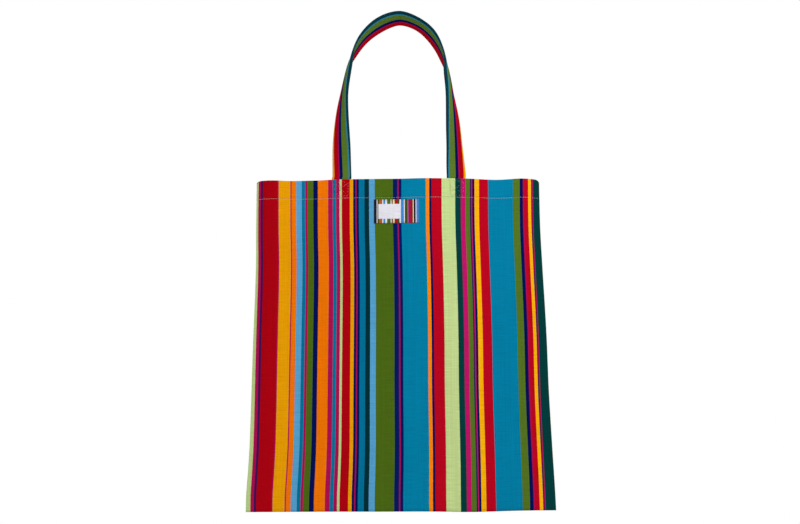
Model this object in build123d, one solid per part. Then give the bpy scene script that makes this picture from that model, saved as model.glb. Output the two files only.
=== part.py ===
from build123d import *
import math
import os

# A canvas tote bag, hanging by its two handles. Millimetres, +Z up, the front faces -Y.
# The origin is the point under both handle arches where a hook carries the bag.

# Bag body
BAG_HEIGHT = 430.0  # bottom edge to mouth edge
BOTTOM_WIDTH = 384.0
MOUTH_WIDTH = 378.0  # the open mouth draws the sides in a little
MOUTH_DEPTH = 14.0  # how far the front panel stands off the back one at the mouth
BOTTOM_DEPTH = 3.0
SIDE_ROUND = 34.0  # the front panel curves back to the side seams over this width
CLOTH = 0.9
HEM_DEPTH = 27.0
HEM_THICKNESS = 2.4  # the cloth is turned in twice
BACK_Y = 26.0  # the flat outer face of the back panel
BOTTOM_SEAM = 1.2  # height of the closed strip along the bottom
SEAM_CONTACT = 2.0  # width of the strip where the front panel meets the back one
BACK_HEM_INSET = 20.0  # the thick part of the back hem stops this far from the side seams

# Handles
STRAP_WIDTH = 25.0
STRAP_THICKNESS = 2.0
LEG_X = 76.0  # from the bag's centreline to the middle of a leg
LOOP_RISE = 217.0  # mouth edge to the middle of the front arch
ARCH_Z = 7.5  # the middle of the front arch, whose lower edge is at the origin's height
BACK_LOOP_LIFT = 12.5  # the back arch stands this much higher
ARCH_Y = 13.5  # each arch stands this far from the hook's middle
LOOP_START = 4.0  # the free loop begins this far above the mouth edge
LEAN_HEIGHT = 110.0  # the legs reach the arch's plane at this height
END_TOP = 3.0  # the sewn ends show this far above the mouth edge
END_LENGTH = 24.0  # and reach this far below it
LOOP_SPANS = 40
LEG_CURVE = 3.8  # exponents of the loop's superellipse
ARCH_CURVE = 1.7
# The turn of the strap about its own line, as pairs of height share and degrees
TWIST = [(0, 0), (0.14, 16), (0.31, 40), (0.48, 60), (0.62, 75), (0.73, 86), (0.84, 103), (0.92, 111), (1, 112)]

# Label
LABEL_WIDTH = 60.0
LABEL_HEIGHT = 33.0
LABEL_THICKNESS = 0.8
LABEL_X = -3.0  # its middle, a little left of the bag's centreline
LABEL_DROP = 28.7  # mouth edge to the label's top edge

# Thread
STITCH_PITCH = 3.5
STITCH_LENGTH = 2.6
STITCH_WIDTH = 0.6
STITCH_HEIGHT = 0.5
STITCH_SINK = 0.3  # how much of its height lies in the cloth
HEM_STITCH_DROP = 26.0  # mouth edge to the row of stitches
ROW_MARGIN = 5.0
TACK_WIDTH = 18.0
TACK_TOP = 4.0
TACK_HEIGHT = 19.0
TACK_CORNER = 2.0  # the diagonals stop this far from the corners
LABEL_STITCH_INSET = 1.6
SEAM_INSET = 1.0  # the seam thread runs this far inside the edge

MOUTH_Z = ARCH_Z - LOOP_RISE
BOTTOM_Z = MOUTH_Z - BAG_HEIGHT
HEM_Z = MOUTH_Z - HEM_DEPTH
SEAM_Y = BACK_Y - CLOTH  # the plane where the two panels meet
PANEL_LEVELS = 3


def share(z):
    """How far up the bag a height is, 0 at the bottom edge and 1 at the mouth."""
    return (z - BOTTOM_Z) / BAG_HEIGHT


def half_width(z):
    return (BOTTOM_WIDTH + (MOUTH_WIDTH - BOTTOM_WIDTH) * share(z)) / 2


def depth(z):
    """How far the flat middle of the front panel stands off the seam plane."""
    return BOTTOM_DEPTH + (MOUTH_DEPTH - BOTTOM_DEPTH) * share(z)


def side_drop(reach, rise, from_flat):
    """How far an arc that rises over reach to a tangent flat has dropped at a distance from it."""
    radius = (reach**2 + rise**2) / (2 * rise)
    return radius - math.sqrt(radius**2 - from_flat**2)


def front_point(x, z, lift=0.0):
    """A point on the front panel's outer face, raised outwards by lift."""
    from_flat = max(abs(x) - (half_width(z) - SIDE_ROUND), 0.0)
    drop = side_drop(SIDE_ROUND, depth(z), from_flat)
    return Vector(x, SEAM_Y - depth(z) + drop - lift, z)


def panel_outline(z, half, reach, rise):
    """The arc, flat and arc of one face of the front panel at a height, from left to right."""
    edge = half_width(z) - SIDE_ROUND
    flat_y = SEAM_Y - rise
    middle = edge + reach / 2
    middle_y = flat_y + side_drop(reach, rise, reach / 2)
    left = ThreePointArc((-half, SEAM_Y, z), (-middle, middle_y, z), (-edge, flat_y, z))
    right = ThreePointArc((edge, flat_y, z), (middle, middle_y, z), (half, SEAM_Y, z))
    return [left, Line((-edge, flat_y, z), (edge, flat_y, z)), right]


def panel_section(z, thickness):
    half = half_width(z)
    inner_half = half - SEAM_CONTACT
    outer = panel_outline(z, half, SIDE_ROUND, depth(z))
    inner = panel_outline(z, inner_half, SIDE_ROUND - SEAM_CONTACT, depth(z) - thickness)
    ends = [Line((side * half, SEAM_Y, z), (side * inner_half, SEAM_Y, z)) for side in (-1, 1)]
    return make_face(outer + inner + ends)


def panel_loft(low, high, levels, thickness):
    heights = [low + (high - low) * i / levels for i in range(levels + 1)]
    return loft([panel_section(z, thickness) for z in heights], ruled=True)


def make_front_panel():
    """The front cloth with its hem, rounded back at the sides and closed along the bottom seam."""
    body = panel_loft(BOTTOM_Z, HEM_Z, PANEL_LEVELS, CLOTH)
    hem = panel_loft(HEM_Z, MOUTH_Z, 1, HEM_THICKNESS)
    half = half_width(BOTTOM_Z) - SEAM_CONTACT / 2
    rim = panel_outline(BOTTOM_Z, half, SIDE_ROUND - SEAM_CONTACT / 2, BOTTOM_DEPTH - CLOTH / 2)
    base = make_face(rim + [Line((-half, SEAM_Y, BOTTOM_Z), (half, SEAM_Y, BOTTOM_Z))])
    return body + hem + extrude(base, BOTTOM_SEAM, dir=(0, 0, 1))


def make_back_panel():
    """The flat back cloth. Its hem is thicker inwards, clear of the front panel's ends."""
    corners = [
        (-half_width(BOTTOM_Z), BACK_Y, BOTTOM_Z),
        (half_width(BOTTOM_Z), BACK_Y, BOTTOM_Z),
        (half_width(MOUTH_Z), BACK_Y, MOUTH_Z),
        (-half_width(MOUTH_Z), BACK_Y, MOUTH_Z),
    ]
    plate = extrude(make_face(Polyline(*corners, close=True)), CLOTH, dir=(0, -1, 0))
    hem_width = MOUTH_WIDTH - 2 * BACK_HEM_INSET
    hem_place = Pos(0, BACK_Y - HEM_THICKNESS / 2, MOUTH_Z - HEM_DEPTH / 2)
    return plate + hem_place * Box(hem_width, HEM_THICKNESS, HEM_DEPTH)


def smooth_value(pairs, t):
    """The value at t of a smooth curve through (place, value) pairs."""
    last = len(pairs) - 1
    t = min(max(t, pairs[0][0]), pairs[last][0])
    i = max(k for k in range(last) if pairs[k][0] <= t)
    slopes = []
    for k in (i, i + 1):
        before, after = pairs[max(k - 1, 0)], pairs[min(k + 1, last)]
        slopes.append((after[1] - before[1]) / (after[0] - before[0]))
    span = pairs[i + 1][0] - pairs[i][0]
    u = (t - pairs[i][0]) / span
    rise = (3 * u**2 - 2 * u**3) * (pairs[i + 1][1] - pairs[i][1])
    bend = (u**3 - 2 * u**2 + u) * slopes[0] + (u**3 - u**2) * slopes[1]
    return pairs[i][1] + rise + span * bend


def loop_centre(turn, rise, base_y, arch_y):
    """The strap's middle line, for turn from 0 at the left leg over 90 at the top to 180."""
    folded = math.radians(min(turn, 180 - turn))
    height = rise * math.sin(folded) ** (2 / LEG_CURVE)
    x = LEG_X * math.cos(folded) ** (2 / ARCH_CURVE)
    part = min(height / LEAN_HEIGHT, 1.0)
    lean = part**2 * (3 - 2 * part)
    return Vector(-x if turn <= 90 else x, base_y + (arch_y - base_y) * lean, MOUTH_Z + height)


def loop_turns(rise):
    """Turns from one leg over the top to the other, spaced about evenly along the strap."""
    start = math.degrees(math.asin((LOOP_START / rise) ** (LEG_CURVE / 2)))
    half = LOOP_SPANS // 2
    first = math.sqrt(start / 90)
    rising = [90 * (first + (1 - first) * i / half) ** 2 for i in range(half + 1)]
    return rising + [180 - turn for turn in reversed(rising[:-1])]


def loop_section(turn, rise, base_y, arch_y):
    """The strap's rectangle at one turn of the loop. Its inner edge turns to the front."""
    step = 0.25
    centre = loop_centre(turn, rise, base_y, arch_y)
    before = loop_centre(max(turn - step, 0.01), rise, base_y, arch_y)
    after = loop_centre(min(turn + step, 179.99), rise, base_y, arch_y)
    along = (after - before).normalized()
    inward = Vector(along.Z, 0, -along.X).normalized()
    twist = math.radians(smooth_value(TWIST, (centre.Z - MOUTH_Z) / rise))
    width = (inward * math.cos(twist) - Vector(0, 1, 0) * math.sin(twist)).normalized()
    plane = Plane(origin=centre, x_dir=width, z_dir=along)
    return plane * Rectangle(STRAP_WIDTH, STRAP_THICKNESS)


def make_loop(rise, base_y, arch_y):
    """One strap loop: rises from a leg, turns its edge to the front and arches over."""
    sections = [loop_section(turn, rise, base_y, arch_y) for turn in loop_turns(rise)]
    return loft(sections, ruled=True)


def make_front_handle():
    base = front_point(LEG_X, MOUTH_Z).Y + HEM_THICKNESS + STRAP_THICKNESS / 2
    return make_loop(LOOP_RISE, base, -ARCH_Y)


def make_back_handle():
    base = BACK_Y - HEM_THICKNESS - STRAP_THICKNESS / 2
    return make_loop(LOOP_RISE + BACK_LOOP_LIFT, base, ARCH_Y)


def front_plate(left, right, low, high, inner_lift, outer_lift):
    """A flat plate that follows the front panel's slope between two lifts from its outer face."""
    sections = []
    for z in (low, high):
        inner, outer = front_point(0, z, inner_lift).Y, front_point(0, z, outer_lift).Y
        corners = [(left, inner, z), (right, inner, z), (right, outer, z), (left, outer, z)]
        sections.append(make_face(Polyline(*corners, close=True)))
    return loft(sections, ruled=True)


def make_front_ends():
    """The two ends of the front strap, sewn flat inside the front hem."""
    low, high = MOUTH_Z - END_LENGTH, MOUTH_Z + END_TOP
    inside = -HEM_THICKNESS - STRAP_THICKNESS
    half = STRAP_WIDTH / 2
    plates = [
        front_plate(x - half, x + half, low, high, inside, -HEM_THICKNESS) for x in (-LEG_X, LEG_X)
    ]
    return Compound(children=plates)


def make_back_ends():
    """The two ends of the back strap, sewn flat inside the back hem."""
    y = BACK_Y - HEM_THICKNESS - STRAP_THICKNESS / 2
    height = END_TOP + END_LENGTH
    middle = MOUTH_Z + END_TOP - height / 2
    box = Box(STRAP_WIDTH, STRAP_THICKNESS, height)
    return Compound(children=[Pos(x, y, middle) * box for x in (-LEG_X, LEG_X)])


def make_label():
    """A woven patch lying on the front panel just under the hem."""
    top = MOUTH_Z - LABEL_DROP
    left, right = LABEL_X - LABEL_WIDTH / 2, LABEL_X + LABEL_WIDTH / 2
    return front_plate(left, right, top - LABEL_HEIGHT, top, 0, LABEL_THICKNESS)


def stitch(start, end, normal):
    """One thread stitch between two points on a face, partly sunk into the cloth."""
    along = (end - start).normalized()
    centre = (start + end) * 0.5 + normal * (STITCH_HEIGHT / 2 - STITCH_SINK)
    plane = Plane(origin=centre, x_dir=along, z_dir=normal)
    return plane * Box(STITCH_LENGTH, STITCH_WIDTH, STITCH_HEIGHT)


def stitch_row(first, last, place):
    """Stitches from first to last, two (x, z) pairs. place gives a point and its normal there."""
    length = math.dist(first, last)
    count = int(length // STITCH_PITCH)
    half = STITCH_LENGTH / 2 / length
    row = []
    for i in range(count):
        middle = (i + 0.5) / count
        pairs = [
            (first[0] + (last[0] - first[0]) * t, first[1] + (last[1] - first[1]) * t)
            for t in (middle - half, middle + half)
        ]
        (start, normal), (end, _) = place(*pairs[0]), place(*pairs[1])
        row.append(stitch(start, end, normal))
    return row


def front_normal(x, z):
    """The outward normal of the front panel, leaving out its slight slope."""
    step = 0.5
    along = front_point(x + step, z) - front_point(x - step, z)
    return Vector(along.Y, -along.X, 0).normalized()


def on_front(x, z):
    return front_point(x, z), front_normal(x, z)


def on_back(x, z):
    """The back stitches are sunk until they are flush with the flat back face."""
    return Vector(x, BACK_Y - STITCH_HEIGHT + STITCH_SINK, z), Vector(0, 1, 0)


def on_label(x, z):
    return front_point(x, z, LABEL_THICKNESS), Vector(0, -1, 0)


def on_seam(x, z):
    """Seam thread lies across the join, half in each panel."""
    return Vector(x, SEAM_Y, z), Vector(0, -1, 0)


def hem_row(place):
    z = MOUTH_Z - HEM_STITCH_DROP
    reach = half_width(z) - ROW_MARGIN
    return Compound(children=stitch_row((-reach, z), (reach, z), place))


def box_rows(left, right, low, high, place):
    corners = [(left, low), (right, low), (right, high), (left, high)]
    rows = []
    for i in range(4):
        rows += stitch_row(corners[i], corners[(i + 1) % 4], place)
    return rows


def make_tack(x, place):
    """The box of stitches with a cross in it that fastens one handle end."""
    left, right = x - TACK_WIDTH / 2, x + TACK_WIDTH / 2
    high = MOUTH_Z - TACK_TOP
    low = high - TACK_HEIGHT
    rows = box_rows(left, right, low, high, place)
    low_in, high_in = low + TACK_CORNER, high - TACK_CORNER
    left_in, right_in = left + TACK_CORNER, right - TACK_CORNER
    rows += stitch_row((left_in, low_in), (right_in, high_in), place)
    falling = stitch_row((left_in, high_in), (right_in, low_in), place)
    if len(falling) % 2:
        falling.pop(len(falling) // 2)
    return Compound(children=rows + falling)


def make_label_stitching():
    half = LABEL_WIDTH / 2 - LABEL_STITCH_INSET
    top = MOUTH_Z - LABEL_DROP - LABEL_STITCH_INSET
    low = MOUTH_Z - LABEL_DROP - LABEL_HEIGHT + LABEL_STITCH_INSET
    return Compound(children=box_rows(LABEL_X - half, LABEL_X + half, low, top, on_label))


def make_side_seam(side):
    low, high = BOTTOM_Z + ROW_MARGIN, MOUTH_Z - ROW_MARGIN
    first = (side * (half_width(low) - SEAM_INSET), low)
    last = (side * (half_width(high) - SEAM_INSET), high)
    return Compound(children=stitch_row(first, last, on_seam))


def make_bottom_seam():
    reach = half_width(BOTTOM_Z) - 2 * ROW_MARGIN
    z = BOTTOM_Z + BOTTOM_SEAM / 2
    return Compound(children=stitch_row((-reach, z), (reach, z), on_seam))


def write(name, shape):
    export_step(shape, os.path.join("parts", name + ".step"))


os.makedirs("parts", exist_ok=True)
write("front_panel", make_front_panel())
write("back_panel", make_back_panel())
write("front_handle", make_front_handle())
write("back_handle", make_back_handle())
write("front_handle_ends", make_front_ends())
write("back_handle_ends", make_back_ends())
write("label", make_label())
write("label_stitching", make_label_stitching())
write("front_hem_stitching", hem_row(on_front))
write("back_hem_stitching", hem_row(on_back))
write("front_left_tack", make_tack(-LEG_X, on_front))
write("front_right_tack", make_tack(LEG_X, on_front))
write("back_left_tack", make_tack(-LEG_X, on_back))
write("back_right_tack", make_tack(LEG_X, on_back))
write("left_seam_stitching", make_side_seam(-1))
write("right_seam_stitching", make_side_seam(1))
write("bottom_seam_stitching", make_bottom_seam())
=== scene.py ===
import bpy
import math
from mathutils import Matrix, Vector, noise


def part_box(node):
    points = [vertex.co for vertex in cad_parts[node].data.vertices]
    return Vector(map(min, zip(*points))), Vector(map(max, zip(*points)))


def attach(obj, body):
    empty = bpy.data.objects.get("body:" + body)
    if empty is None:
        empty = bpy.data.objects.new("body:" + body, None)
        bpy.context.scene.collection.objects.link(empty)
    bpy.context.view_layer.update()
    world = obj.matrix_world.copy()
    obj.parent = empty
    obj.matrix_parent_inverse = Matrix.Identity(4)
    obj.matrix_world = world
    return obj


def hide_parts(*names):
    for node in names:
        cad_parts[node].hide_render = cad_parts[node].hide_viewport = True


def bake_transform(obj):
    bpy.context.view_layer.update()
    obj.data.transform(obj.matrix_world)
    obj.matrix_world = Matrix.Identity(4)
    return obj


# The looks of a striped canvas tote bag that hangs by its two handles.
# Metres, in the frame of the CAD: the origin is under the handle arches, +Z up, the front faces -Y.

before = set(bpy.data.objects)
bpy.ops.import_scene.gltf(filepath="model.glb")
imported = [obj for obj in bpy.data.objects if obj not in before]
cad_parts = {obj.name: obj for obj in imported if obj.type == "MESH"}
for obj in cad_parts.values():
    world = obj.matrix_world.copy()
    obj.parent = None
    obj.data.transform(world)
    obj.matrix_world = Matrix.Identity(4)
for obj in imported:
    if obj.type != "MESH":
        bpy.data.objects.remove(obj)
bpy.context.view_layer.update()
MM = 0.001

# ---------------------------------------------------------------- sizes, from the frame and the cloth
FRONT_LOW, FRONT_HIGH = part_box("front_panel")
BACK_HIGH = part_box("back_panel")[1]
END_LOW, END_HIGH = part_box("front_handle_ends")
BACK_END_LOW, BACK_END_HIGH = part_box("back_handle_ends")
LABEL_LOW, LABEL_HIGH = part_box("label")

MOUTH_Z = FRONT_HIGH[2]
BOTTOM_Z = FRONT_LOW[2]
HEIGHT = MOUTH_Z - BOTTOM_Z
BOTTOM_HALF = FRONT_HIGH[0]
MOUTH_HALF = BOTTOM_HALF - 3 * MM  # the open mouth draws the sides in a little
BACK_Y = BACK_HIGH[1]
CLOTH = 0.9 * MM
SEAM_Y = BACK_Y - CLOTH  # the plane where the two panels meet
MOUTH_DEPTH = SEAM_Y - FRONT_LOW[1]
BOTTOM_DEPTH = 3 * MM
SIDE_ROUND = 34 * MM  # the front panel curves back to the side seams over this width
HEM_DEPTH = 27 * MM
HEM_THICKNESS = 2.4 * MM
STITCH_DROP = 26 * MM  # mouth edge to the row of stitches
FLAT_WIDTH = 385 * MM  # of a panel's cloth, laid out
TACK_WIDTH = 18 * MM
TACK_TOP = 4 * MM
TACK_HEIGHT = 19 * MM
TACK_CORNER = 2 * MM

STRAP_WIDTH = 25 * MM
STRAP_THICKNESS = 2.4 * MM
LEG_X = (END_HIGH[0] - END_LOW[0] - STRAP_WIDTH) / 2
ARCH_Y = 13.5 * MM  # each arch stands this far from the hook's middle
LEAN_HEIGHT = 110 * MM  # the legs reach the arch's plane at this height
LEG_CURVE = 3.8  # exponents of the loop's superellipse
ARCH_CURVE = 1.7
LOOP_RISE = 218 * MM
BACK_LOOP_LIFT = 12.5 * MM
BACK_SPREAD = 1.012
# The turn of the strap about its own line: share of the loop's height and degrees.
TWIST = [
    (0, 0), (0.13, 15), (0.3, 37), (0.5, 63), (0.64, 72),
    (0.71, 82), (0.77, 94), (0.85, 104), (0.93, 110), (1, 112),
]


# ---------------------------------------------------------------- colours
def rgb(code):
    """Linear colour of an sRGB hex code."""
    parts = [int(code[i : i + 2], 16) / 255 for i in (0, 2, 4)]
    linear = [c / 12.92 if c <= 0.04045 else ((c + 0.055) / 1.055) ** 2.4 for c in parts]
    return (*linear, 1.0)


DYES = {
    "pale": "BAD28A",
    "lime": "C2D78F",
    "magenta": "AC0D50",
    "fuchsia": "BE1266",
    "purple": "3C1052",
    "red": "AC0010",
    # Painted light: a lighter copy of red for the right-hand stripes, where the light falls stronger; its
    # slight pink tint is the cloth's own.
    "pinkish_red_painted_lit": "B8031E",
    "amber": "E89D02",
    # Painted light: a lighter copy of amber for the right-hand stripes, where the light falls stronger.
    "amber_painted_lit": "F8B208",
    "orange": "EE7402",
    "tangerine": "F98402",
    "sky": "55A0CE",
    "teal": "007DA4",
    "lagoon": "007098",
    "olive": "4A6714",
    "leaf": "547120",
    "navy": "010E52",
    "marine": "03185E",
    "bottle": "013B3B",
    "ink": "012E36",
    "pool": "2E82A0",
    "fern": "587526",
    "deep": "053843",
    "moss": "3C4A12",
    "rust": "B05A1C",
    "brick": "8E1408",
    "crimson": "A6063C",
    "white": "E6E5E8",
    "field": "E4E2EC",
    "cream": "E6D3A0",
    "brown": "5E3420",
    "blue": "3F86D0",
    "violet": "8A6CC0",
    "night": "0B0C24",
}

WEFT_COLOUR = "A8A498"

# The warp of the cloth from the left seam to the right one, seen from outside: dye and width in millimetres.
# The reds and ambers right of the middle take lighter copies of their dyes, which are painted light for the
# stronger light on that side.
CLOTH_WARP = [
    ("pale", 5.6), ("magenta", 3.8), ("purple", 3.3), ("red", 18.9), ("magenta", 1.6), ("amber", 15.0),
    ("magenta", 1.9), ("orange", 5.6), ("sky", 7.7), ("lagoon", 5.3), ("magenta", 2.1), ("olive", 7.9),
    ("navy", 6.4), ("orange", 13.1), ("magenta", 5.4), ("lagoon", 4.5), ("magenta", 4.7), ("pale", 4.1),
    ("red", 9.1), ("amber", 5.7), ("navy", 2.3), ("magenta", 2.1), ("navy", 1.9), ("lagoon", 8.0),
    ("ink", 6.0), ("sky", 7.8), ("olive", 24.2), ("marine", 6.0), ("magenta", 1.9), ("marine", 3.8),
    ("teal", 31.0), ("tangerine", 4.4), ("magenta", 1.2), ("navy", 2.3), ("pinkish_red_painted_lit", 13.2), ("lime", 19.0),
    ("bottle", 6.6), ("fuchsia", 6.4), ("leaf", 5.8), ("navy", 1.8), ("fuchsia", 1.9), ("navy", 1.7),
    ("amber_painted_lit", 7.4), ("pinkish_red_painted_lit", 11.8), ("teal", 32.9), ("leaf", 8.4), ("navy", 4.6), ("magenta", 1.5),
    ("pinkish_red_painted_lit", 6.1), ("amber_painted_lit", 4.3), ("navy", 1.9), ("magenta", 1.9), ("bottle", 12.1),
]
# The strap's face, from the edge that turns to the front to the other one.
STRAP_WARP = [
    ("deep", 4.8), ("pool", 1.8), ("fern", 7.8), ("navy", 4.0),
    ("magenta", 1.2), ("red", 5.8), ("amber", 4.6),
]
# The ribbon of the label, left to right.
LABEL_WARP = [
    ("night", 3.6), ("white", 0.9), ("moss", 2.0), ("rust", 4.3), ("white", 1.5), ("blue", 2.6),
    ("white", 2.2), ("olive", 4.8), ("white", 1.0), ("brown", 1.8), ("cream", 2.2), ("red", 4.2),
    ("moss", 2.2), ("white", 1.8), ("blue", 4.0), ("white", 1.3), ("moss", 3.5), ("violet", 1.0),
    ("crimson", 4.0), ("brick", 1.8), ("cream", 1.3), ("night", 2.5), ("white", 1.0), ("blue", 4.3),
]
# The blank field in the middle of the label is one colour.
FIELD_WARP = [("field", 30.0), ("field", 30.0)]


# ---------------------------------------------------------------- small helpers
def smooth_value(pairs, t):
    """The value at t of a smooth curve through (place, value) pairs."""
    last = len(pairs) - 1
    t = min(max(t, pairs[0][0]), pairs[last][0])
    i = max(k for k in range(last) if pairs[k][0] <= t)
    slopes = []
    for k in (i, i + 1):
        before, after = pairs[max(k - 1, 0)], pairs[min(k + 1, last)]
        slopes.append((after[1] - before[1]) / (after[0] - before[0]))
    span = pairs[i + 1][0] - pairs[i][0]
    u = (t - pairs[i][0]) / span
    rise = (3 * u**2 - 2 * u**3) * (pairs[i + 1][1] - pairs[i][1])
    bend = (u**3 - 2 * u**2 + u) * slopes[0] + (u**3 - u**2) * slopes[1]
    return pairs[i][1] + rise + span * bend


def bump_at(value, middle, spread):
    return math.exp(-(((value - middle) / spread) ** 2))


def new_object(name, points, faces, uvs=None, smooth=True):
    """A mesh object from points and faces. uvs holds one (u, v) per point, in metres of cloth."""
    mesh = bpy.data.meshes.new(name)
    mesh.from_pydata([tuple(p) for p in points], [], faces)
    if uvs is not None:
        layer = mesh.uv_layers.new(name="cloth")
        for loop in mesh.loops:
            layer.data[loop.index].uv = uvs[loop.vertex_index]
    mesh.update()
    if smooth:
        mesh.shade_smooth()
    made = bpy.data.objects.new(name, mesh)
    bpy.context.scene.collection.objects.link(made)
    return made


def ring_faces(rings, around):
    """Quads between rings of points that each go round a closed section."""
    faces = []
    for i in range(rings - 1):
        for k in range(around):
            a, b = i * around + k, i * around + (k + 1) % around
            faces.append((a, b, b + around, a + around))
    return faces


# ---------------------------------------------------------------- materials
class Nodes:
    """A few short ways to add shader nodes to one material."""

    def __init__(self, name):
        self.material = bpy.data.materials.new(name)
        self.material.use_nodes = True
        self.tree = self.material.node_tree
        self.shader = self.tree.nodes["Principled BSDF"]

    def add(self, kind, **settings):
        node = self.tree.nodes.new("ShaderNode" + kind)
        for key, value in settings.items():
            setattr(node, key, value)
        return node

    def link(self, source, target):
        self.tree.links.new(source, target)

    def math(self, operation, a, b=None, c=None):
        node = self.add("Math", operation=operation)
        for socket, value in zip(node.inputs, (a, b, c)):
            if value is None:
                continue
            if isinstance(value, (int, float)):
                socket.default_value = value
            else:
                self.link(value, socket)
        return node.outputs[0]

    def mix(self, share, a, b, blend="MIX"):
        node = self.add("Mix", data_type="RGBA", blend_type=blend)
        for socket, value in ((node.inputs[0], share), (node.inputs[6], a), (node.inputs[7], b)):
            if isinstance(value, (int, float, tuple)):
                socket.default_value = value
            else:
                self.link(value, socket)
        return node.outputs[2]

    def scaled_noise(self, u, v, scale_u, scale_v, detail=2.0, offset=0.0):
        """Noise stretched over the cloth, with features of 1/scale metres each way."""
        place = self.add("CombineXYZ")
        self.link(self.math("MULTIPLY", u, scale_u), place.inputs[0])
        self.link(self.math("MULTIPLY", v, scale_v), place.inputs[1])
        place.inputs[2].default_value = offset
        cloud = self.add("TexNoise", noise_dimensions="3D")
        cloud.inputs["Scale"].default_value = 1.0
        cloud.inputs["Detail"].default_value = detail
        self.link(place.outputs[0], cloud.inputs["Vector"])
        return cloud.outputs[0]


MAX_STOPS = 30


def stripe_colour(nodes, share, warp):
    """The dye at a share of the cloth's width, from colour ramps of at most MAX_STOPS stripes each."""
    total = sum(width for _, width in warp)
    starts = [sum(width for _, width in warp[:i]) / total for i in range(len(warp))]
    colour = None
    for first in range(0, len(warp), MAX_STOPS):
        ramp = nodes.add("ValToRGB")
        ramp.color_ramp.interpolation = "CONSTANT"
        stops = ramp.color_ramp.elements
        part = range(first, min(first + MAX_STOPS, len(warp)))
        stops[0].position = 0.0 if first == 0 else starts[first]
        stops[0].color = rgb(DYES[warp[first][0]])
        stops.remove(stops[1])
        for i in part[1:]:
            stop = stops.new(starts[i])
            stop.color = rgb(DYES[warp[i][0]])
        nodes.link(share, ramp.inputs[0])
        if colour is None:
            colour = ramp.outputs[0]
        else:
            past = nodes.math("GREATER_THAN", share, starts[first])
            colour = nodes.mix(past, colour, ramp.outputs[0])
    return colour


def yarn_tone(nodes, yarns, slubs, fading):
    """How light the cloth is at a place: fine lines along the warp, slubs across it and slow fading."""
    tone = nodes.math("MULTIPLY_ADD", yarns, 0.30, 0.85)
    tone = nodes.math("MULTIPLY", tone, nodes.math("MULTIPLY_ADD", slubs, 0.46, 0.77))
    return nodes.math("MULTIPLY", tone, nodes.math("MULTIPLY_ADD", fading, 0.16, 0.92))


def plain_weave(nodes, u, v, pitch):
    """The crowns of warp (-1) and weft (1), which alternate like a chessboard."""
    across = nodes.math("SINE", nodes.math("MULTIPLY", u, math.pi / pitch))
    along = nodes.math("SINE", nodes.math("MULTIPLY", v, math.pi / pitch))
    return nodes.math("MULTIPLY", across, along)


def add_bump(nodes, height, strength, distance):
    bump = nodes.add("Bump")
    bump.inputs["Strength"].default_value = strength
    bump.inputs["Distance"].default_value = distance
    nodes.link(height, bump.inputs["Height"])
    nodes.link(bump.outputs[0], nodes.shader.inputs["Normal"])


def woven_material(name, warp, width, pitch, roughness=0.9, sheen=0.0, weft_share=0.01):
    """Yarn-dyed striped cloth: stripes along the warp, crossed by an uneven weft."""
    nodes = Nodes(name)
    uv = nodes.add("UVMap", uv_map="cloth")
    split = nodes.add("SeparateXYZ")
    nodes.link(uv.outputs[0], split.inputs[0])
    u, v = split.outputs[0], split.outputs[1]

    # Each weft thread pushes the stripe's edge a fraction of a yarn to one side.
    wander = nodes.scaled_noise(u, v, 260.0, 900.0, detail=1.0, offset=3.7)
    shift = nodes.math("MULTIPLY", nodes.math("SUBTRACT", wander, 0.5), pitch * 0.9)
    share = nodes.math("DIVIDE", nodes.math("ADD", u, shift), width)
    dye = stripe_colour(nodes, share, warp)

    yarns = nodes.scaled_noise(u, v, 0.9 / pitch, 9.0, detail=1.0, offset=1.3)
    slubs = nodes.scaled_noise(u, v, 42.0, 0.7 / pitch, detail=2.0, offset=8.1)
    fading = nodes.scaled_noise(u, v, 11.0, 7.0, detail=3.0, offset=5.5)
    toned = nodes.mix(1.0, dye, yarn_tone(nodes, yarns, slubs, fading), blend="MULTIPLY")

    # A little of the undyed weft shows on its crowns.
    weave = plain_weave(nodes, u, v, pitch)
    crowns = nodes.math("POWER", nodes.math("MULTIPLY_ADD", weave, 0.5, 0.5), 3.0)
    weft_shows = nodes.math("MULTIPLY", crowns, weft_share)
    nodes.link(nodes.mix(weft_shows, toned, rgb(WEFT_COLOUR)), nodes.shader.inputs["Base Color"])

    height = nodes.math("MULTIPLY_ADD", slubs, 0.9, nodes.math("MULTIPLY", weave, 0.35))
    height = nodes.math("MULTIPLY_ADD", yarns, 0.35, height)
    add_bump(nodes, height, 0.55, 0.25 * MM)
    rough = nodes.math("MULTIPLY_ADD", slubs, 0.12, roughness - 0.06)
    nodes.link(rough, nodes.shader.inputs["Roughness"])
    nodes.shader.inputs["Sheen Weight"].default_value = sheen
    nodes.shader.inputs["Sheen Roughness"].default_value = 0.5
    nodes.shader.inputs["Specular IOR Level"].default_value = 0.02
    return nodes.material


def thread_material(name, code):
    """Twisted sewing thread: fine slanting plies with a soft sheen."""
    nodes = Nodes(name)
    place = nodes.add("TexCoord")
    wave = nodes.add("TexWave", bands_direction="DIAGONAL")
    wave.inputs["Scale"].default_value = 900.0
    wave.inputs["Distortion"].default_value = 0.8
    nodes.link(place.outputs["Object"], wave.inputs["Vector"])
    light = rgb(code)
    dark = (*(0.72 * part for part in light[:3]), 1.0)
    nodes.link(nodes.mix(wave.outputs[1], light, dark), nodes.shader.inputs["Base Color"])
    add_bump(nodes, wave.outputs[1], 0.4, 0.06 * MM)
    rough = nodes.math("MULTIPLY_ADD", wave.outputs[1], 0.15, 0.5)
    nodes.link(rough, nodes.shader.inputs["Roughness"])
    nodes.shader.inputs["Sheen Weight"].default_value = 0.2
    return nodes.material


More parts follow.
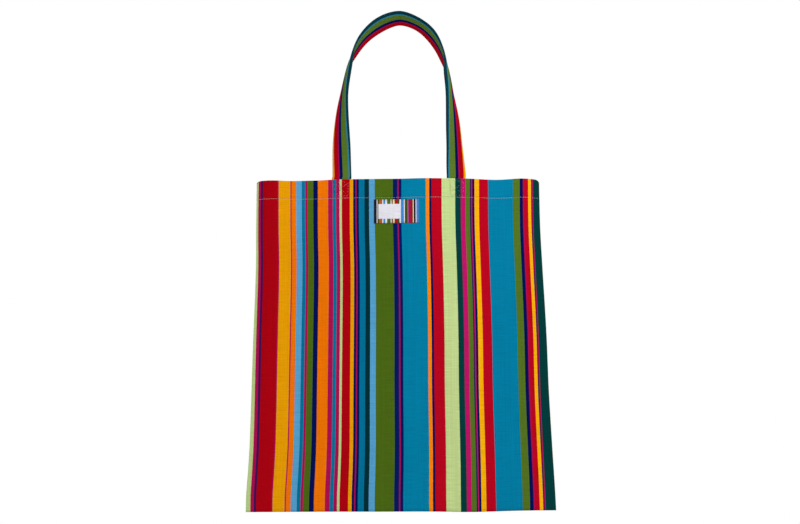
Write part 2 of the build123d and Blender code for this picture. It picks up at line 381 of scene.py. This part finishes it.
def floor_material():
    nodes = Nodes("pale_floor")
    place = nodes.add("TexCoord")
    cloud = nodes.add("TexNoise")
    cloud.inputs["Scale"].default_value = 3.0
    nodes.link(place.outputs["Object"], cloud.inputs["Vector"])
    nodes.link(nodes.mix(cloud.outputs[0], rgb("F1F0EE"), rgb("F6F5F4")), nodes.shader.inputs["Base Color"])
    nodes.shader.inputs["Roughness"].default_value = 0.8
    return nodes.material


# ---------------------------------------------------------------- the shape of the hanging cloth
def share_up(z):
    return (z - BOTTOM_Z) / HEIGHT


def half_width(z):
    return BOTTOM_HALF + (MOUTH_HALF - BOTTOM_HALF) * share_up(z)


def panel_depth(z):
    return BOTTOM_DEPTH + (MOUTH_DEPTH - BOTTOM_DEPTH) * share_up(z)


# How far each side seam stands in from a straight side, in millimetres, by share of the height.
LEFT_INSET = [
    (0, 0.4), (0.05, 0.3), (0.12, 1.6), (0.2, 2.5), (0.5, 2.5), (0.72, 3.0), (0.85, 1.5), (1, 0.4),
]
RIGHT_INSET = [
    (0, -1.4), (0.06, -1.2), (0.2, 0), (0.35, 0.9), (0.5, 0.6),
    (0.6, 1), (0.72, 1.9), (0.85, 2.5), (1, 1.2),
]


def seam_x(side, z):
    """Where the left (-1) or the right (1) side seam hangs."""
    inset = smooth_value(LEFT_INSET if side < 0 else RIGHT_INSET, share_up(z))
    return side * (half_width(z) - inset * MM)


def front_section(part, z):
    """(x, y) on the front panel's outer face at a share of its way from the left seam to the right."""
    left, right, depth = seam_x(-1, z), seam_x(1, z), panel_depth(z)
    radius = (SIDE_ROUND**2 + depth**2) / (2 * depth)
    sweep = math.asin(SIDE_ROUND / radius)
    arc, flat = radius * sweep, right - left - 2 * SIDE_ROUND
    along = part * (2 * arc + flat)
    side = -1 if along < arc + flat / 2 else 1
    seam = left if side < 0 else right
    from_seam = along if side < 0 else 2 * arc + flat - along
    if from_seam > arc:
        return seam - side * (SIDE_ROUND + from_seam - arc), SEAM_Y - depth
    angle = sweep - from_seam / radius
    x = seam - side * (SIDE_ROUND - radius * math.sin(angle))
    return x, SEAM_Y - depth + radius * (1 - math.cos(angle))


def cloth_u(part, z):
    """The cloth coordinate across the bag. The seams are not quite parallel to the stripes."""
    up = min(max(share_up(z), 0.0), 1.0)
    left = 2.5 * up**0.7 * math.exp(-((part * FLAT_WIDTH / (26 * MM)) ** 2))
    right = 1.5 * (1 - up) ** 3 * math.exp(-(((1 - part) * FLAT_WIDTH / (20 * MM)) ** 2))
    low = 1.5 * (1 - up) ** 3 * min(part / 0.1, (1 - part) / 0.1, 1.0)
    return part * FLAT_WIDTH + (left + right + low) * MM


def away_from_seams(x, z):
    """1 in the middle of a panel and 0 at the side seams and the bottom."""
    side = 1 - min(abs(x) / half_width(z), 1.0) ** 6
    return side * min((z - BOTTOM_Z) / (30 * MM), 1.0)


def tack_relief(x, z):
    """Dents along the rows of a tack and puckers round it, in millimetres."""
    across = abs(abs(x) - LEG_X)
    upward = abs(MOUTH_Z - TACK_TOP - TACK_HEIGHT / 2 - z)
    past_side, past_end = across - TACK_WIDTH / 2, upward - TACK_HEIGHT / 2
    beyond = max(past_side, past_end, 0.0)
    if beyond > 3 * MM:
        return 0.0
    rows = [abs(past_side), abs(past_end), abs(across - upward) * 0.7]
    puckers = 2.6 * abs(noise.noise(Vector((x * 150, z * 120, 5.0))))
    return (puckers - 1.0 * bump_at(min(rows), 0.0, 1.0 * MM)) * bump_at(beyond, 0.0, 1.8 * MM)


def front_wave(x, z):
    """How far the limp cloth of the front stands out from its even shape.

    There are upright folds below the mouth, wider ones at the bottom, two sizes of ripples, and a
    hollow under each strap end. The depths are in millimetres until the last line."""
    up = share_up(z)
    folds = 0.9 * math.sin(x / 0.031 + 0.8) * up**1.5
    folds += 0.8 * math.sin(x / 0.052 - 1.0 + 1.1 * up) * (1 - up)
    folds += 1.6 * noise.noise(Vector((x * 8, z * 5, 2.0)))
    folds += 0.5 * noise.noise(Vector((x * 25, z * 16, 7.0)))
    pull = bump_at(abs(x), LEG_X, 22 * MM) * bump_at(z, MOUTH_Z - 34 * MM, 30 * MM)
    return (folds - 0.9 * pull + tack_relief(x, z)) * MM * away_from_seams(x, z)


def back_wave(x, z):
    """The same for the back, which is flatter."""
    folds = 1.2 * noise.noise(Vector((x * 7, z * 4, 11.0)))
    folds += 0.5 * noise.noise(Vector((x * 22, z * 15, 4.0)))
    folds += 0.6 * math.sin(x / 0.045 + 2.0) * share_up(z)
    return (folds + tack_relief(x, z)) * MM * away_from_seams(x, z)


CORNER_ROUND = 5.0 * MM


def mouth_sag(x, z):
    """How far the cloth hangs below its even place.

    The mouth edge dips between the handles and the corners, the corners are rounded, and the bottom
    edge hangs a little lower on the right."""
    up = max(share_up(z), 0.0)
    middle = 1 - min(abs(x) / MOUTH_HALF, 1.0) ** 10
    dip = 1.6 * middle + 3.0 * bump_at(x, -142 * MM, 38 * MM) + 0.8 * bump_at(x, -104 * MM, 16 * MM)
    dip += 2.2 * bump_at(x, 130 * MM, 28 * MM)
    dip -= 1.2 / (1 + math.exp(-(x - 15 * MM) / (10 * MM)))
    bottom = 0.5 * bump_at(x, -10 * MM, 60 * MM) + 1.5 * bump_at(x, 88 * MM, 45 * MM)
    seam = seam_x(-1 if x < 0 else 1, z)
    near = max(CORNER_ROUND - abs(seam - x), 0.0)
    corner = CORNER_ROUND - math.sqrt(CORNER_ROUND**2 - near**2)
    top = min(max((z - MOUTH_Z + 26 * MM) / (26 * MM), 0.0), 1.0) ** 2
    return -(dip * up**3 + bottom * (1 - up) ** 8) * MM - corner * top


def hem_relief(drop):
    """How far the hem's outer face stands proud: plump above the row of stitches, pulled in at it."""
    plump = 0.35 if drop < STITCH_DROP else 0.35 * math.exp(-(drop - STITCH_DROP) / (2.5 * MM))
    return (plump - 0.55 * bump_at(drop, STITCH_DROP, 0.9 * MM)) * MM


COLUMNS = 120
TACK_COLUMNS = 34
BODY_ROWS = 92
# Rows of the mesh in and below the hem, by distance from the mouth edge in millimetres.
HEM_DROPS = [
    30, 28.6, 27.6, 27.2, 26.8, 26.4, 26, 25.6, 25.2, 24.6, 23.8, 23, 22.2, 21.2, 20, 18.8, 17.6,
    16.4, 15.2, 14, 12.8, 11.6, 10.4, 9.2, 8, 6.8, 5.8, 5, 4.2, 3.4, 2.5, 1.8, 1.2,
]
FOLD_STEPS = 6
SIDE_GAP = 0.4 * MM  # the cloth thins out to the side seams over the squeeze width
SQUEEZE_WIDTH = 4 * MM


def panel_heights():
    low, high = BOTTOM_Z, MOUTH_Z - HEM_DROPS[0] * MM
    body = [low + (high - low) * i / BODY_ROWS for i in range(BODY_ROWS)]
    return body + [MOUTH_Z - drop * MM for drop in HEM_DROPS]


def thickness_at(z):
    drop = MOUTH_Z - z
    step = min(max((HEM_DEPTH - drop) / (0.5 * MM), 0.0), 1.0)
    return CLOTH + (HEM_THICKNESS - CLOTH) * step


def front_column(part, z):
    """Outer point and outward direction of the front panel."""
    x, y = front_section(part, z)
    x2, y2 = front_section(min(part + 0.002, 1.0), z)
    x1, y1 = front_section(max(part - 0.002, 0.0), z)
    out = Vector((y2 - y1, -(x2 - x1), 0.0)).normalized()
    lift = front_wave(x, z) + hem_relief(MOUTH_Z - z) * away_from_seams(x, z)
    return Vector((x, y, z + mouth_sag(x, z))) + out * lift, out


def back_column(part, z):
    """Outer point and outward direction of the back panel, which is nearly flat."""
    left, right = seam_x(-1, z), seam_x(1, z)
    x = right + (left - right) * part
    near = min(max(min(x - left, right - x), 0.0) / (1.6 * MM), 1.0)
    y = SEAM_Y + CLOTH * math.sqrt(1 - (1 - near) ** 2)
    lift = back_wave(x, z) + hem_relief(MOUTH_Z - z) * away_from_seams(x, z)
    sag = mouth_sag(x, z) * 0.6
    return Vector((x, y + lift, z + sag)), Vector((0.0, 1.0, 0.0))


def panel_parts():
    """Shares of the width, closer together near the side seams and closest at the tacks."""
    even = [i / COLUMNS for i in range(COLUMNS + 1)]
    parts = [p - math.sin(2 * math.pi * p) / (2 * math.pi) * 0.55 for p in even]
    reach = (TACK_WIDTH / 2 + 4 * MM) / FLAT_WIDTH
    for middle in (0.5 - LEG_X / FLAT_WIDTH, 0.5 + LEG_X / FLAT_WIDTH):
        parts = [p for p in parts if abs(p - middle) > reach + 0.5 * MM / FLAT_WIDTH]
        parts += [middle + reach * (2 * i / TACK_COLUMNS - 1) for i in range(TACK_COLUMNS + 1)]
    return sorted(parts)


def panel_ring(part, column, heights):
    """One column of a panel: up the outer face, over the mouth fold and down the inner face."""
    edge = min(part, 1 - part) * FLAT_WIDTH
    squeeze = min((edge + SIDE_GAP) / SQUEEZE_WIDTH, 1.0)
    ring, uvs, inner = [], [], []
    for z in heights:
        point, out = column(part, z)
        ring.append(point)
        uvs.append((cloth_u(part, z), z - BOTTOM_Z))
        inner.append(point - out * thickness_at(z) * squeeze)
    middle, half = (ring[-1] + inner[-1]) / 2, (ring[-1] - inner[-1]) / 2
    rise = MOUTH_Z - heights[-1]
    for step in range(1, FOLD_STEPS):
        turn = math.pi * step / FOLD_STEPS
        ring.append(middle + half * math.cos(turn) + Vector((0, 0, rise * math.sin(turn))))
        uvs.append((cloth_u(part, MOUTH_Z), HEIGHT + rise * (step / FOLD_STEPS - 0.5)))
    for z, point in zip(reversed(heights), reversed(inner)):
        ring.append(point)
        uvs.append((cloth_u(part, z), HEIGHT + (MOUTH_Z - z)))
    return ring, uvs


def make_panel(name, column):
    """A closed shell of cloth, closed along its two side edges."""
    heights = panel_heights()
    points, uvs = [], []
    parts = panel_parts()
    for part in parts:
        ring, ring_uv = panel_ring(part, column, heights)
        points += ring
        uvs += ring_uv
    around = len(points) // len(parts)
    faces = ring_faces(len(parts), around)
    last = (len(parts) - 1) * around
    for k in range(around // 2 - 1):
        a, b, c, d = k, k + 1, around - 2 - k, around - 1 - k
        faces.append((a, b, c, d))
        faces.append((last + d, last + c, last + b, last + a))
    return new_object(name, points, faces, uvs)


# ---------------------------------------------------------------- straps
# The soft loop does not hang quite evenly: sideways drift of each half in millimetres, by share of
# its height.
LEFT_DRIFT = [
    (0, 0.8), (0.15, 0.3), (0.3, 0), (0.6, 0), (0.75, -1.4), (0.85, -1.6), (0.93, 0), (1, 2.2),
]
RIGHT_DRIFT = [
    (0, 0.8), (0.15, -1), (0.32, -3), (0.47, -4), (0.6, -2.8),
    (0.7, -0.8), (0.85, 2.4), (0.93, 3.2), (1, 2.2),
]


def loop_centre(turn, rise, base_y, arch_y):
    """The strap's middle line, for turn from 0 at the left leg over 90 at the top to 180."""
    folded = math.radians(min(turn, 180 - turn))
    height = rise * math.sin(folded) ** (2 / LEG_CURVE)
    x = LEG_X * math.cos(folded) ** (2 / ARCH_CURVE)
    if rise > LOOP_RISE:
        x *= 1 + (BACK_SPREAD - 1) * min(height / LEAN_HEIGHT, 1.0)
    x = -x if turn <= 90 else x
    x += smooth_value(LEFT_DRIFT if turn <= 90 else RIGHT_DRIFT, height / rise) * MM
    part = min(height / LEAN_HEIGHT, 1.0)
    lean = part**2 * (3 - 2 * part)
    return Vector((x, base_y + (arch_y - base_y) * lean, MOUTH_Z + height))


LOOP_STEPS = 72
END_STEPS = 10
END_DEPTH = 23.5 * MM


def strap_twist(centre, rise):
    """The turn of the strap about its own line. The left side has turned a little further than the right."""
    share = (centre.z - MOUTH_Z) / rise
    left = -math.tanh(centre.x / (16 * MM))
    extra = 7 * bump_at(share, 0.97, 0.06) - 4 * bump_at(share, 0.72, 0.06) - 6 * bump_at(share, 0.18, 0.1)
    return math.radians(smooth_value(TWIST, share) + extra * left)


def strap_stations(rise, base_y, arch_y):
    """(centre, width direction, face direction) along a strap, from one sewn end to the other."""
    stations = []
    rising = [90 * (i / LOOP_STEPS) ** 2 for i in range(1, LOOP_STEPS + 1)]
    turns = rising + [180 - t for t in reversed(rising[:-1])]
    for turn in turns:
        centre = loop_centre(turn, rise, base_y, arch_y)
        before = loop_centre(max(turn - 0.25, 0.001), rise, base_y, arch_y)
        after = loop_centre(min(turn + 0.25, 179.999), rise, base_y, arch_y)
        along = (after - before).normalized()
        inward = Vector((along.z, 0, -along.x)).normalized()
        twist = strap_twist(centre, rise)
        width = (inward * math.cos(twist) - Vector((0, 1, 0)) * math.sin(twist)).normalized()
        stations.append((centre, width, width.cross(along).normalized()))
    up = Vector((0, 0, 1))
    for side in (-1, 1):
        width = Vector((-side, 0, 0))
        face = width.cross(up * -side)
        for k in range(END_STEPS + 1):
            z = MOUTH_Z - END_DEPTH * k / END_STEPS
            station = (Vector((side * LEG_X, base_y, z)), width, face)
            if side < 0:
                stations.insert(0, station)
            else:
                stations.append(station)
    return stations


STRAP_SECTION = 22
STRAP_ROLL = 3.2 * MM
STRAP_CUP = 2.2 * MM
STRAP_WARP_WIDTH = 30 * MM


def strap_ring(station, along, rise):
    """Points and cloth coordinates round the strap's section: flat faces with soft folded edges.

    The strap is a flattened tube, and near the bag it has rolled so that more of the amber side shows."""
    centre, width, face = station
    share = max((centre.z - MOUTH_Z) / rise, 0.0)
    rolled = STRAP_ROLL * (1 - min(share / 0.8, 1.0))
    cup = STRAP_CUP * bump_at(share, 0.7, 0.22)
    ring, uvs = [], []
    for k in range(STRAP_SECTION):
        turn = 2 * math.pi * k / STRAP_SECTION
        c, s = math.cos(turn), math.sin(turn)
        across = math.copysign(abs(c) ** 0.55, c)
        off = math.copysign(abs(s) ** 0.30, s)
        lift = off * STRAP_THICKNESS / 2 * (1 - 0.35 * abs(across) ** 7) + cup * (0.5 - across**2)
        ring.append(centre + width * (across * STRAP_WIDTH / 2) + face * lift)
        uvs.append(((1 - across) / 2 * STRAP_WIDTH + rolled, along))
    return ring, uvs


def make_strap(name, rise, base_y, arch_y):
    """One strap with both its sewn ends, and its length."""
    stations = strap_stations(rise, base_y, arch_y)
    points, uvs, along = [], [], 0.0
    for i, station in enumerate(stations):
        if i:
            along += (station[0] - stations[i - 1][0]).length
        ring, ring_uv = strap_ring(station, along, rise)
        points += ring
        uvs += ring_uv
    faces = ring_faces(len(stations), STRAP_SECTION)
    faces.append(tuple(reversed(range(STRAP_SECTION))))
    first = (len(stations) - 1) * STRAP_SECTION
    faces.append(tuple(range(first, first + STRAP_SECTION)))
    return new_object(name, points, faces, uvs), along


# ---------------------------------------------------------------- thread
THREAD_RADIUS = 0.16 * MM
TACK_THREAD_RADIUS = 0.11 * MM
STITCH_PITCH = 3.2 * MM
STITCH_LENGTH = 2.8 * MM
STITCH_RINGS = 7
STITCH_SIDES = 8
SEAM_INSET = 1.0 * MM
SEAM_MARGIN = 5.0 * MM
HEM_MARGIN = 4.0 * MM


def add_stitch(points, faces, start, end, normal, thread_radius):
    """One stitch that dives into the cloth at both ends and lies on it between them."""
    first = len(points)
    along = (end - start).normalized()
    side = normal.cross(along).normalized()
    for i in range(STITCH_RINGS):
        t = i / (STITCH_RINGS - 1)
        arch = math.sin(math.pi * t) ** 0.5
        middle = start.lerp(end, t) + normal * (thread_radius * (1.25 * arch - 0.75))
        radius = thread_radius * (0.55 + 0.45 * arch)
        for k in range(STITCH_SIDES):
            turn = 2 * math.pi * k / STITCH_SIDES
            points.append(middle + side * (radius * math.cos(turn)) + normal * (radius * math.sin(turn)))
    for i in range(STITCH_RINGS - 1):
        for k in range(STITCH_SIDES):
            a, b = first + i * STITCH_SIDES + k, first + i * STITCH_SIDES + (k + 1) % STITCH_SIDES
            faces.append((a, b, b + STITCH_SIDES, a + STITCH_SIDES))
    faces.append(tuple(reversed(range(first, first + STITCH_SIDES))))
    last = first + (STITCH_RINGS - 1) * STITCH_SIDES
    faces.append(tuple(range(last, last + STITCH_SIDES)))


def stitch_rows(name, rows, place, thread_radius=THREAD_RADIUS):
    """Stitches along straight rows of (x, z) pairs. place gives a point and its normal there."""
    points, faces = [], []
    for first, last in rows:
        length = math.dist(first, last)
        count = max(int(length // STITCH_PITCH), 1)
        half = STITCH_LENGTH / 2 / length
        for i in range(count):
            middle = (i + 0.5) / count
            ends = []
            for t in (middle - half, middle + half):
                ends.append(place(first[0] + (last[0] - first[0]) * t, first[1] + (last[1] - first[1]) * t))
            add_stitch(points, faces, ends[0][0], ends[1][0], ends[0][1], thread_radius)
    return new_object(name, points, faces)


def front_part_at(x, z):
    """The share of the front panel's width at which it has a given x."""
    low, high = 0.0, 1.0
    for _ in range(24):
        middle = (low + high) / 2
        if front_section(middle, z)[0] < x:
            low = middle
        else:
            high = middle
    return (low + high) / 2


def on_front(x, z):
    return front_column(front_part_at(x, z), z)


def on_back(x, z):
    left, right = seam_x(-1, z), seam_x(1, z)
    return back_column((right - x) / (right - left), z)


def box_of(left, right, low, high):
    """The four sides of a box as rows from corner to corner."""
    corners = [(left, low), (right, low), (right, high), (left, high)]
    return [(corners[i], corners[(i + 1) % 4]) for i in range(4)]


def tack_rows(x):
    """A box with a cross in it, which fastens one strap end."""
    left, right = x - TACK_WIDTH / 2, x + TACK_WIDTH / 2
    high = MOUTH_Z - TACK_TOP
    low = high - TACK_HEIGHT
    rows = box_of(left, right, low, high)
    corner = TACK_CORNER
    rows.append(((left + corner, low + corner), (right - corner, high - corner)))
    rows.append(((left + corner, high - corner), (right - corner, low + corner)))
    return rows


def on_seam(x, z):
    """A point in the join of the two panels, where the seam thread lies."""
    return Vector((x, SEAM_Y, z + mouth_sag(x, z))), Vector((0.0, 1.0, 0.0))


def on_left_seam(_, z):
    return on_seam(seam_x(-1, z) + SEAM_INSET, z)


def on_right_seam(_, z):
    return on_seam(seam_x(1, z) - SEAM_INSET, z)


def side_seam_rows():
    return [((0.0, BOTTOM_Z + SEAM_MARGIN), (0.0, MOUTH_Z - SEAM_MARGIN))]


def bottom_seam_rows():
    reach, z = BOTTOM_HALF - 2 * SEAM_MARGIN, BOTTOM_Z + SEAM_INSET
    return [((-reach, z), (reach, z))]


def hem_rows():
    z = MOUTH_Z - STITCH_DROP
    reach = half_width(z) - HEM_MARGIN
    return [((-reach, z), (reach, z))]


# ---------------------------------------------------------------- label
LABEL_THICKNESS = 0.8 * MM
LABEL_STITCH_INSET = 1.6 * MM
THREAD_SINK = 0.15 * MM
FIELD_LEFT = 5.8 * MM
FIELD_WIDTH = 29.5 * MM
FIELD_LOW = 6.1 * MM
FIELD_HEIGHT = 20.5 * MM
LABEL_X = LABEL_LOW[0]
LABEL_Z = LABEL_LOW[2]
LABEL_EDGE = 0.55 * MM
LABEL_BASE = 0.05 * MM  # the underside lies this far off the cloth
MARK_GAP = 0.12 * MM
MATERIAL_WEAVE, MATERIAL_FIELD, MATERIAL_EDGE = 0, 1, 2
LABEL_STEP = 1.5 * MM


def grid_lines(length, marks):
    """Even lines from 0 to length, with extra lines at and just inside the marks."""
    count = round(length / LABEL_STEP)
    lines = {round(length * i / count, 6) for i in range(count + 1)}
    for mark in marks:
        lines = {line for line in lines if abs(line - mark) > 0.5 * MM or line in (0.0, round(length, 6))}
        lines |= {round(mark - MARK_GAP, 6), round(mark + MARK_GAP, 6)}
    return sorted(lines)


def on_field(a, b):
    return FIELD_LEFT < a < FIELD_LEFT + FIELD_WIDTH and FIELD_LOW < b < FIELD_LOW + FIELD_HEIGHT


def label_lift(a, b, width, height):
    """Height of the label's face over the cloth: rounded at the rim, a little higher on the field."""
    rim = max(min(a, b, width - a, height - b), 0.0)
    round_off = math.sqrt(1 - (1 - min(rim / (0.7 * MM), 1.0)) ** 2)
    stitch_line = bump_at(rim, LABEL_STITCH_INSET, 0.45 * MM)
    return LABEL_THICKNESS * round_off + (0.14 * MM if on_field(a, b) else 0.0) - 0.18 * MM * stitch_line


def label_slot(x, z, width, height):
    """The material of the label's face at a place."""
    if min(x, z, width - x, height - z) < LABEL_EDGE - MARK_GAP:
        return MATERIAL_EDGE
    if on_field(x, z):
        return MATERIAL_FIELD
    return MATERIAL_WEAVE


def label_rim(columns, rows):
    """Indices of the grid points round the label's edge, anticlockwise."""
    rim = list(range(columns))
    rim += [j * columns + columns - 1 for j in range(1, rows)]
    rim += [(rows - 1) * columns + i for i in range(columns - 2, -1, -1)]
    return rim + [j * columns for j in range(rows - 2, 0, -1)]


def make_label(dark_thread):
    """A ribbon with a blank field, a dark edge and a flat underside."""
    width, height = LABEL_HIGH[0] - LABEL_LOW[0], LABEL_HIGH[2] - LABEL_LOW[2]
    across = grid_lines(width, (LABEL_EDGE, FIELD_LEFT, FIELD_LEFT + FIELD_WIDTH, width - LABEL_EDGE))
    upward = grid_lines(height, (LABEL_EDGE, FIELD_LOW, FIELD_LOW + FIELD_HEIGHT, height - LABEL_EDGE))
    points, uvs, faces, slots = [], [], [], []
    for is_face in (True, False):
        for b in upward:
            for a in across:
                point, out = on_front(LABEL_X + a, LABEL_Z + b)
                points.append(point + out * (label_lift(a, b, width, height) if is_face else LABEL_BASE))
                uvs.append((a, b))
    columns, rows = len(across), len(upward)
    under = columns * rows
    for j in range(rows - 1):
        for i in range(columns - 1):
            a = j * columns + i
            faces.append((a, a + 1, a + columns + 1, a + columns))
            faces.append((under + a, under + a + columns, under + a + columns + 1, under + a + 1))
            x, z = (across[i] + across[i + 1]) / 2, (upward[j] + upward[j + 1]) / 2
            slots += [label_slot(x, z, width, height), MATERIAL_WEAVE]
    rim = label_rim(columns, rows)
    for k, a in enumerate(rim):
        b = rim[(k + 1) % len(rim)]
        faces.append((b, a, under + a, under + b))
        slots.append(MATERIAL_EDGE)
    made = new_object("label_ribbon", points, faces, uvs)
    weave = woven_material("label_weave", LABEL_WARP, width, 0.35 * MM, 0.62, 0.03, 0.05)
    field = woven_material("label_field", FIELD_WARP, width, 0.3 * MM, 0.6, 0.03, 0.05)
    for material in (weave, field, dark_thread):
        made.data.materials.append(material)
    for face, slot in zip(made.data.polygons, slots):
        face.material_index = slot
    return made


def on_label(x, z):
    point, out = on_front(x, z)
    return point + out * (LABEL_THICKNESS - THREAD_SINK), out


def label_rows():
    inset = LABEL_STITCH_INSET
    right, high = LABEL_X + LABEL_HIGH[0] - LABEL_LOW[0], LABEL_Z + LABEL_HIGH[2] - LABEL_LOW[2]
    return box_of(LABEL_X + inset, right - inset, LABEL_Z + inset, high - inset)


# ---------------------------------------------------------------- camera, lights and floor
CAMERA_PLACE = Vector((-0.0272, -1.3858, -0.6749))
CAMERA_TURN = math.radians(1.15)
CAMERA_RISE = math.radians(14.08)
CAMERA_ROLL = math.radians(0.37)
FLOOR_DROP = 0.16
FLOOR_REACH = 30.0
SKY_SIDE = 0.24  # the studio light is weaker from the sides than from above
SKY_TOP = 0.95


def make_camera():
    data = bpy.data.cameras.new("camera")
    data.lens = 50.0
    data.sensor_width = 36.0
    data.clip_start = 0.05
    data.clip_end = 50.0
    camera = bpy.data.objects.new("camera", data)
    bpy.context.scene.collection.objects.link(camera)
    flat = Vector((math.sin(CAMERA_TURN), math.cos(CAMERA_TURN), 0.0))
    ahead = flat * math.cos(CAMERA_RISE) + Vector((0, 0, math.sin(CAMERA_RISE)))
    right = Vector((math.cos(CAMERA_TURN), -math.sin(CAMERA_TURN), 0.0))
    up = right.cross(ahead)
    right_rolled = right * math.cos(CAMERA_ROLL) - up * math.sin(CAMERA_ROLL)
    up_rolled = right * math.sin(CAMERA_ROLL) + up * math.cos(CAMERA_ROLL)
    turn = Matrix((right_rolled, up_rolled, -ahead)).transposed()
    camera.matrix_world = Matrix.Translation(CAMERA_PLACE) @ turn.to_4x4()
    bpy.context.scene.camera = camera


def make_light(name, place, target, size, power):
    data = bpy.data.lights.new(name, "AREA")
    data.shape = "RECTANGLE"
    data.size, data.size_y = size
    data.energy = power
    lamp = bpy.data.objects.new(name, data)
    bpy.context.scene.collection.objects.link(lamp)
    lamp.location = place
    lamp.rotation_mode = "QUATERNION"
    lamp.rotation_quaternion = (Vector(target) - Vector(place)).to_track_quat("-Z", "Y")


def make_world():
    """Even studio light from all round, with a white backdrop where nothing else is seen."""
    world = bpy.data.worlds.new("studio")
    bpy.context.scene.world = world
    world.use_nodes = True
    tree = world.node_tree
    light = tree.nodes["Background"]
    light.inputs[0].default_value = (1.0, 1.0, 1.0, 1.0)
    place = tree.nodes.new("ShaderNodeTexCoord")
    split = tree.nodes.new("ShaderNodeSeparateXYZ")
    height = tree.nodes.new("ShaderNodeMath")
    height.operation = "MAXIMUM"
    height.inputs[1].default_value = 0.0
    strength = tree.nodes.new("ShaderNodeMath")
    strength.operation = "MULTIPLY_ADD"
    strength.inputs[1].default_value = SKY_TOP - SKY_SIDE
    strength.inputs[2].default_value = SKY_SIDE
    tree.links.new(place.outputs["Generated"], split.inputs[0])
    tree.links.new(split.outputs[2], height.inputs[0])
    tree.links.new(height.outputs[0], strength.inputs[0])
    tree.links.new(strength.outputs[0], light.inputs[1])
    seen = tree.nodes.new("ShaderNodeBackground")
    seen.inputs[0].default_value = (1.0, 1.0, 1.0, 1.0)
    path = tree.nodes.new("ShaderNodeLightPath")
    mix = tree.nodes.new("ShaderNodeMixShader")
    tree.links.new(path.outputs["Is Camera Ray"], mix.inputs[0])
    tree.links.new(light.outputs[0], mix.inputs[1])
    tree.links.new(seen.outputs[0], mix.inputs[2])
    tree.links.new(mix.outputs[0], tree.nodes["World Output"].inputs[0])


def make_stage():
    bag_middle = (0.0, 0.0, (MOUTH_Z + BOTTOM_Z) / 2)
    make_light("key", (0.42, -0.62, 0.3), bag_middle, (0.6, 0.5), 4.6)
    make_light("fill", (-1.3, -1.3, 0.5), bag_middle, (1.2, 1.2), 4.5)
    make_light("back", (-0.3, 1.6, 0.8), bag_middle, (1.4, 1.2), 8.0)
    reach, level = FLOOR_REACH, BOTTOM_Z - FLOOR_DROP
    corners = [(-reach, -reach, level), (reach, -reach, level), (reach, reach, level), (-reach, reach, level)]
    floor = new_object("floor", corners, [(0, 1, 2, 3)], smooth=False)
    floor.data.materials.append(floor_material())


# ---------------------------------------------------------------- putting it together
def finish_piece(piece, body, node, material=None):
    """Hang a piece on its body in place of a CAD node."""
    if material is not None:
        piece.data.materials.append(material)
    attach(piece, body)
    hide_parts(node)


bpy.context.scene.view_settings.view_transform = "Standard"
make_camera()
make_world()
make_stage()

canvas = woven_material("striped_canvas", CLOTH_WARP, FLAT_WIDTH, 0.55 * MM)
strap_cloth = woven_material("striped_strap", STRAP_WARP, STRAP_WARP_WIDTH, 0.5 * MM)
pale_thread = thread_material("pale_thread", "B9C2C4")
dark_thread = thread_material("dark_thread", "1B1D33")

front = make_panel("front_cloth", front_column)
finish_piece(front, "bag", "front_panel", canvas)
back = make_panel("back_cloth", back_column)
finish_piece(back, "bag", "back_panel", canvas)

front_hem = stitch_rows("front_hem_thread", hem_rows(), on_front)
finish_piece(front_hem, "bag", "front_hem_stitching", pale_thread)
back_hem = stitch_rows("back_hem_thread", hem_rows(), on_back)
finish_piece(back_hem, "bag", "back_hem_stitching", pale_thread)
fronts, backs = [front_hem], [back_hem]
for side, place in (("front", on_front), ("back", on_back)):
    for hand, sign in (("left", -1), ("right", 1)):
        node = f"{side}_{hand}_tack"
        tack = stitch_rows(node + "_thread", tack_rows(sign * LEG_X), place, TACK_THREAD_RADIUS)
        finish_piece(tack, "bag", node, pale_thread)
        (fronts if side == "front" else backs).append(tack)
seams = (("left", side_seam_rows(), on_left_seam), ("right", side_seam_rows(), on_right_seam),
         ("bottom", bottom_seam_rows(), on_seam))
for edge, rows, place in seams:
    seam = stitch_rows(edge + "_seam_thread", rows, place)
    finish_piece(seam, "bag", edge + "_seam_stitching", pale_thread)
    fronts.append(seam)

label = make_label(dark_thread)
finish_piece(label, "bag", "label")
label_thread = stitch_rows("label_thread", label_rows(), on_label)
finish_piece(label_thread, "bag", "label_stitching", dark_thread)

front_base = (END_LOW[1] + END_HIGH[1]) / 2 - 0.2 * MM
back_base = (BACK_END_LOW[1] + BACK_END_HIGH[1]) / 2
strap_specs = [
    ("front_strap", "front_handle", LOOP_RISE, front_base, -ARCH_Y, front),
    ("back_strap", "back_handle", LOOP_RISE + BACK_LOOP_LIFT, back_base, ARCH_Y, back),
]
for name, body, rise, base_y, arch_y, panel in strap_specs:
    strap, length = make_strap(name, rise, base_y, arch_y)
    strap.data.materials.append(strap_cloth)
    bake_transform(strap)
    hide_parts(body, body + "_ends")
